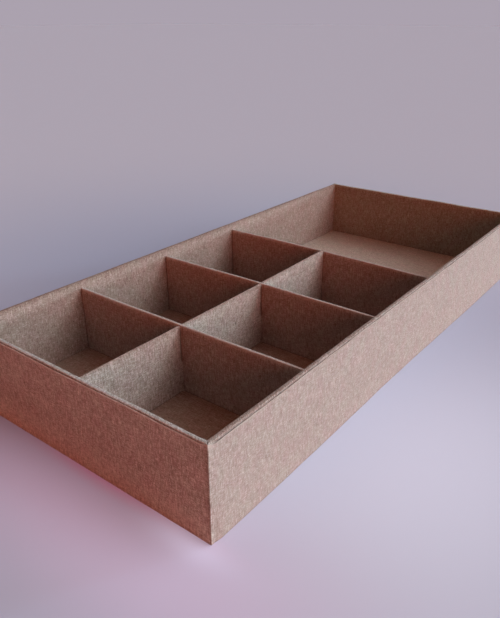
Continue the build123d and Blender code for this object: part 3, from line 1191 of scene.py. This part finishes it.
def dye(f, u, v, seed, tone, fuzz):
    """The tone with clouds of dye and fuzz added, spread about a half by the sheet's
    unevenness, and moved by its mark of wear and painted light and shade, most where fuzz
    stands out."""
    for sizes, step, detail, roughness, share in dye_clouds:
        tone = f.nudge(tone, f.clouds(u, v, sizes, seed + step, detail, roughness), share)
    tone = f.nudge(tone, fuzz, fuzz_share)
    tone = f.nudge(0.5, tone, f.attribute("uneven"))
    tone_shift = f.math("MULTIPLY", f.attribute("rubbed"), f.math("ADD", fuzz, fuzz_base))
    return f.math("MULTIPLY_ADD", tone_shift, rubbed_share, tone)


def knot(f, u, v, flaw):
    """How much of a dark knot shows: 0.8 in its middle, falling to 0 round it by a soft
    step of the sum of (distance / half size) squared. A flaw is its place on the sheet
    and its half sizes."""
    flaw_u, flaw_v, half_u, half_v = flaw
    du = f.math("DIVIDE", f.math("SUBTRACT", u, flaw_u), half_u)
    dv = f.math("DIVIDE", f.math("SUBTRACT", v, flaw_v), half_v)
    return f.spread(f.math("MULTIPLY_ADD", du, du, f.math("MULTIPLY", dv, dv)), 0.3, 1.6, 0.8, 0.0)


print(len(dye_clouds), "clouds of dye")

# %% Book cloth
tone_stops = (0.0, 0.38, 0.62, 1.0)
hue_sizes, rosy, greenish = (8.0, 12.0), (1.0, 0.94, 0.955), (0.965, 1.0, 0.975)
nub_sizes, nub_range, nub_share = (0.5, 2.6), (0.80, 0.86), 0.6
nub_colour, flaw_colour = (0.12, 0.08, 0.065), (0.07, 0.045, 0.035)
# How the crevices' painted shade follows the weave's height
crevice_gain, crevice_base = 0.42, 0.66
cut_share = 0.75
relief_height, relief_strength, fuzz_relief = 0.12 * MM, 0.5, 0.25


def book_cloth(name, seed, colours, cut_colour, flaws=()):
    """Slubbed linen on a paper back. The tone picks a colour, the hue drifts, crevices
    between the threads are darker as painted shade, and nubs, knots and the edge colour lie
    over it, the last at frayed or glued edges and as painted shade in gaps and slits."""
    f = Finish(name)
    u, v = f.cloth_distances()
    tone, top = weave(f, u, v, seed)
    fuzz = f.noise(f.join(u, v, seed), scale=4.5, detail=2.0)
    colour = f.ramp(dye(f, u, v, seed, tone, fuzz), list(zip(tone_stops, colours)))
    hue = f.clouds(u, v, hue_sizes, seed + 21, detail=2.0)
    colour = f.mix(1.0, colour, f.ramp(hue, [(0.34, rosy), (0.66, greenish)]), "MULTIPLY")
    # Painted shade in the crevices between the threads: the lower the weave, the darker
    crevice = f.math("MINIMUM", f.math("MULTIPLY_ADD", top, crevice_gain, crevice_base), 1.0)
    colour = f.mix(1.0, colour, f.join(crevice, crevice, crevice), "MULTIPLY")
    nub = f.clouds(u, v, nub_sizes, seed + 77, detail=0.0)
    colour = f.mix(f.spread(nub, *nub_range, 0.0, nub_share), colour, nub_colour)
    for flaw in flaws:
        colour = f.mix(knot(f, u, v, flaw), colour, flaw_colour)
    # The edge colour: frayed or glued at cut edges, and painted shade in gaps and slits
    colour = f.mix(f.math("MULTIPLY", f.attribute("cut"), cut_share), colour, cut_colour)
    f.set(Base_Color=colour, Roughness=f.math("MULTIPLY_ADD", top, -0.12, 0.92),
          Sheen_Weight=0.12, Sheen_Roughness=0.45, Specular_IOR_Level=0.25)
    f.relief(f.math("MULTIPLY_ADD", fuzz, fuzz_relief, top), relief_strength, relief_height)
    return f.material


print("book cloth with a relief of %.2f mm" % (relief_height / MM))

# %% [markdown]
# Most sheets inside the tray have their own copy of the taupe, each shifted in lightness
# and warmth for the light that falls on it, as painted light and shade. Cut edges are
# frayed and pale on the outside. Inside, the dark edge colour is glue at the dividers'
# ends and feet, and painted shade in the gap behind the raw edge and in the slits.

# %% Cloths
# The taupe from its darkest threads to its palest, the colours of frayed edges and of
# glue and painted shade, and the two knots: place on the sheet and half sizes, in millimetres
taupe = [(0.25, 0.165, 0.135), (0.43, 0.315, 0.272), (0.53, 0.415, 0.368), (0.76, 0.66, 0.60)]
frayed, glued = (0.66, 0.52, 0.46), (0.10, 0.065, 0.05)
back_knot, long_knot = (-76.1, 20.0, 0.5, 1.3), (-80.8, 28.1, 0.5, 1.2)


def painted_light_copy(red, green, blue):
    """The taupe shifted for the light on one piece, as painted light and shade: each stop times
    the three shares.
    """
    return [(r * red, g * green, b * blue) for r, g, b in taupe]


# All finishes but the outside, the front lining and the base have their taupe shifted for their light, as
# painted light and shade
finishes = {
    "outer": book_cloth("book_cloth_outside", 3.0, taupe, frayed),
    "lining": book_cloth("book_cloth_lining", 17.0, taupe, glued),
    "left": book_cloth("book_cloth_left_end", 71.0, painted_light_copy(1.06, 1.18, 1.24), glued),
    "right": book_cloth("book_cloth_right_end", 83.0, painted_light_copy(0.78, 0.88, 0.82), glued),
    "back": book_cloth("book_cloth_back_wall", 23.0, painted_light_copy(0.94, 0.83, 0.79), glued, [back_knot]),
    "floor": book_cloth("book_cloth_floor", 29.0, painted_light_copy(0.96, 0.92, 0.86), glued),
    "long": book_cloth("book_cloth_long_divider", 37.0, painted_light_copy(1.13, 1.08, 1.07), glued, [long_knot]),
    "cross": book_cloth("book_cloth_cross_dividers", 43.0, painted_light_copy(0.88, 0.85, 0.86), glued),
    "base": book_cloth("book_cloth_base", 57.0, taupe, frayed),
}
print("finishes", ", ".join(m.name for m in finishes.values()))

# %% Loose thread
dull_thread, worn_thread = (0.52, 0.41, 0.36), (0.82, 0.72, 0.66)


def loose_thread():
    """Thread that looks as if it had no dye: paler where more of the dye has come off, by a
    noise in place.
    """
    f = Finish("loose_thread")
    tone_shift = f.noise(f.object_place(), scale=220.0)
    f.set(Base_Color=f.ramp(tone_shift, [(0.35, dull_thread), (0.65, worn_thread)]),
          Roughness=f.math("MULTIPLY_ADD", tone_shift, 0.1, 0.85), Sheen_Weight=0.1)
    return f.material


thread_finish = loose_thread()
print("thread finish", thread_finish.name)

# %% [markdown]
# ## Board and card
# Greyboard is pressed from waste paper: grey-brown, flecked with darker and paler
# fibres. It only shows at cut ends inside the slots, but it is finished all the same.

# %% Greyboard and card
fleck_colour = (0.10, 0.085, 0.07)
board_strength, board_relief = 0.3, 0.05 * MM


def pressed_board(name, dark, light, flecks):
    """Pressed paper: two colours by a coarse noise in place, with dark flecks where a fine
    one is high, and the coarse noise's own relief."""
    f = Finish(name)
    place = f.object_place()
    cloudy = f.noise(place, scale=180.0, detail=4.0, roughness=0.65)
    specks = f.spread(f.noise(place, scale=1600.0), 0.62, 0.72)
    colour = f.ramp(cloudy, [(0.3, dark), (0.7, light)])
    f.set(Base_Color=f.mix(f.math("MULTIPLY", specks, flecks), colour, fleck_colour),
          Roughness=f.math("MULTIPLY_ADD", cloudy, 0.15, 0.8))
    f.relief(cloudy, board_strength, board_relief)
    return f.material


greyboard = pressed_board("greyboard", (0.25, 0.225, 0.19), (0.37, 0.34, 0.295), 0.6)
card = pressed_board("levelling_card", (0.42, 0.38, 0.32), (0.52, 0.48, 0.41), 0.25)
board_count = card_count = 0
for name, node in frame["nodes"].items():
    if name.endswith("_board") or "_board_" in name or name == "floor_card":
        node.data.materials.clear()
        node.data.materials.append(greyboard)
        board_count += 1
    elif name.endswith("infill"):
        node.data.materials.clear()
        node.data.materials.append(card)
        card_count += 1
print(board_count, "pieces of greyboard,", card_count, "of card")

# %% [markdown]
# ## Putting the cloth on
# Every sheet takes the place of the plain solid that stood for it. The whole tray is one
# body.

# %% Dress the tray
body = list(frame["bodies"])[0]


def put_on(piece, node, finish):
    """Give a sheet its finish and its place on the tray's body, and hide the plain solid of
    the node that it stands for."""
    piece.data.materials.append(finish)
    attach(piece, body)
    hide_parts(node)


lining_finishes = {"front_wall": "lining", "back_wall": "back", "left_end": "left", "right_end": "right"}
for side, (piece, size) in linings.items():
    put_on(piece, side + "_lining", finishes[lining_finishes[side]])
for node, (piece, size) in dividers.items():
    finish = finishes["long" if node.startswith("long") else "cross"]
    put_on(piece, node, finish)
put_on(outer_wrap, "outer_cloth", finishes["outer"])
put_on(floor_sheet, "floor_lining", finishes["floor"])
put_on(base_sheet, "base_cloth", finishes["base"])
for piece, slot in [*((piece, "outer_cloth") for piece in loose_threads), (tufts, "divider_cloth")]:
    piece.data.materials.append(thread_finish)
    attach(piece, body)
print("body", body, "sheets", 3 + len(linings) + len(dividers))

# %% [markdown]
# ## Stage, lamps and camera
# The tray stands on a plain pale surface. The light is a wide soft one from the front
# right, low enough to leave the compartments in shade, with a dim warm fill from the
# left and from above, and a pale one from behind. The camera is the photograph's: the
# same place, direction and angle of view. To the camera the surface is tinted where the
# tray shades or reddens it, and glows where window light falls. Each such patch is a
# bell about a centre. Lamps could be aimed to do it, but they would change the tray's
# own light as well.

# %% Patches of the floor
# The floor's colour to the camera and to other rays
seen_floor, lit_floor = (0.676, 0.654, 0.757), (0.86, 0.66, 0.66)
# Centre and widths in metres, and colour, of the tray's wide shade, of a blush in front
# of the left end, and of that end's foot, where the cloth reddens the floor
tints = [
    ((-0.022, 0.07), (0.245, 0.281), (0.45, 0.49, 0.66)),
    ((-0.245, -0.125), (0.04, 0.06), (0.557, 0.473, 0.62)),
    ((-0.2225, -0.025), (0.004, 0.035), (0.66, 0.15, 0.29)),
]
# Window light: a wide pool in front, one on the left, and a small one by the near corner
front_pool = ((-0.099, -0.167), (0.114, 0.079), (0.268, 0.250, 0.280))
left_pool = ((-0.253, -0.015), (0.026, 0.08), (0.19, 0.125, 0.185))
corner_pool = ((-0.228, -0.087), (0.006, 0.017), (0.14, 0.14, 0.185))
# How strongly the floor by the left pool also shines on the tray
left_glow = 0.3


def bell(f, x, y, centre, widths):
    """exp of less half the sum of (distance / width) squared along X and Y from a centre."""
    dx = f.math("DIVIDE", f.math("SUBTRACT", x, centre[0]), widths[0])
    dy = f.math("DIVIDE", f.math("SUBTRACT", y, centre[1]), widths[1])
    squared = f.math("MULTIPLY_ADD", dx, dx, f.math("MULTIPLY", dy, dy))
    return f.math("EXPONENT", f.math("MULTIPLY", squared, -0.5))


print(len(tints), "tints of the floor, and three pools of light")

# %% Floor
def pale_floor():
    """The camera sees the tints mixed one over the other and the pools' light added up.
    Other rays see one colour, and a weak glow of the left pool."""
    f = Finish("pale_floor")
    x, y = f.split(f.object_place())[:2]
    seen = f.tree.nodes.new("ShaderNodeLightPath").outputs["Is Camera Ray"]
    pale, glow = seen_floor, (0.0, 0.0, 0.0)
    for centre, widths, colour in tints:
        pale = f.mix(bell(f, x, y, centre, widths), pale, colour)
    for centre, widths, light in (front_pool, left_pool, corner_pool):
        glow = f.mix(bell(f, x, y, centre, widths), glow, light, "ADD")
    weak = f.math("MULTIPLY", bell(f, x, y, *left_pool[:2]), left_glow)
    f.set(Base_Color=f.mix(seen, lit_floor, pale), Emission_Color=glow,
          Emission_Strength=f.math("MAXIMUM", seen, weak), Roughness=1.0, Specular_IOR_Level=0.0)
    return f.material


def make_stage(size=14.0):
    """A square on the table's plane, from minus to plus a size of many metres each way."""
    points = np.array([(-size, -size, 0), (size, -size, 0), (size, size, 0), (-size, size, 0)])
    stage = make_mesh("stage_floor", points, np.array([[0, 1, 2, 3]]))
    stage.data.materials.append(pale_floor())


make_stage()
print("stage floor laid")

# %% Lamps
def sun(name, azimuth, elevation, strength, spread, colour):
    """A distant lamp, its angles in degrees. Azimuth turns from the front, at low Y,
    towards the large bay, and the lamp is tilted up from level by its elevation."""
    lamp = bpy.data.lights.new(name, "SUN")
    lamp.energy, lamp.angle, lamp.color = strength, math.radians(spread), colour
    holder = bpy.data.objects.new(name, lamp)
    turn = Matrix.Rotation(math.radians(azimuth), 4, "Z")
    tilt = Matrix.Rotation(math.radians(90 - elevation), 4, "X")
    holder.matrix_world = turn @ tilt
    bpy.context.scene.collection.objects.link(holder)


# Azimuth, elevation, strength, apparent size and colour
lamps = {
    "window_light": (30, 22, 0.81, 30, (0.60, 0.86, 1.0)),
    "high_light": (30, 42, 0.62, 40, (0.98, 1.0, 0.99)),
    "side_light": (65, 40, 0.72, 40, (0.79, 0.92, 1.0)),
    "front_light": (6, 20, 0.80, 40, (0.80, 0.95, 1.0)),
    "low_light": (60, 3, 2.22, 8, (0.60, 0.89, 1.0)),
    "ceiling_bounce": (0, 89, 0.42, 90, (1.0, 0.36, 0.22)),
    "red_bounce": (-50, 8, 0.78, 30, (1.0, 0.12, 0.0)),
    "back_fill": (180, 8, 0.5, 60, (1.0, 0.97, 0.94)),
}
for name, values in lamps.items():
    sun(name, *values)
print(len(bpy.data.lights), "lamps")

# %% World
# The camera sees a plain pale backdrop, and the tray a weak warm glow all round
world = bpy.data.worlds.new("studio")
bpy.context.scene.world = world
world.use_nodes = True
nodes, links = world.node_tree.nodes, world.node_tree.links
ambient = nodes["Background"]
ambient.inputs["Color"].default_value = (1.0, 0.5, 0.5, 1)
ambient.inputs["Strength"].default_value = 0.01
backdrop = nodes.new("ShaderNodeBackground")
backdrop.inputs["Color"].default_value = (0.408, 0.360, 0.426, 1)
rays, choose = nodes.new("ShaderNodeLightPath"), nodes.new("ShaderNodeMixShader")
links.new(rays.outputs["Is Camera Ray"], choose.inputs[0])
links.new(ambient.outputs[0], choose.inputs[1])
links.new(backdrop.outputs[0], choose.inputs[2])
links.new(choose.outputs[0], nodes["World Output"].inputs["Surface"])
print("world", world.name)

# %% Camera
camera_place = (-0.3905, -0.2536, 0.2335)
camera_heading, camera_drop, camera_roll = -52.28, 25.18, -0.15
sensor_width, lens = 36.0, 45.16
camera = bpy.data.objects.new("camera", bpy.data.cameras.new("camera"))
camera.data.sensor_fit, camera.data.sensor_width, camera.data.lens = "HORIZONTAL", sensor_width, lens
camera.data.clip_start = 0.01
camera.matrix_world = (
    Matrix.Translation(camera_place)
    @ Matrix.Rotation(math.radians(camera_heading), 4, "Z")
    @ Matrix.Rotation(math.radians(90 - camera_drop), 4, "X")
    @ Matrix.Rotation(math.radians(camera_roll), 4, "Z")
)
bpy.context.scene.collection.objects.link(camera)
bpy.context.scene.camera = camera
bpy.context.scene.view_settings.view_transform = "Standard"
print("camera at", camera_place)
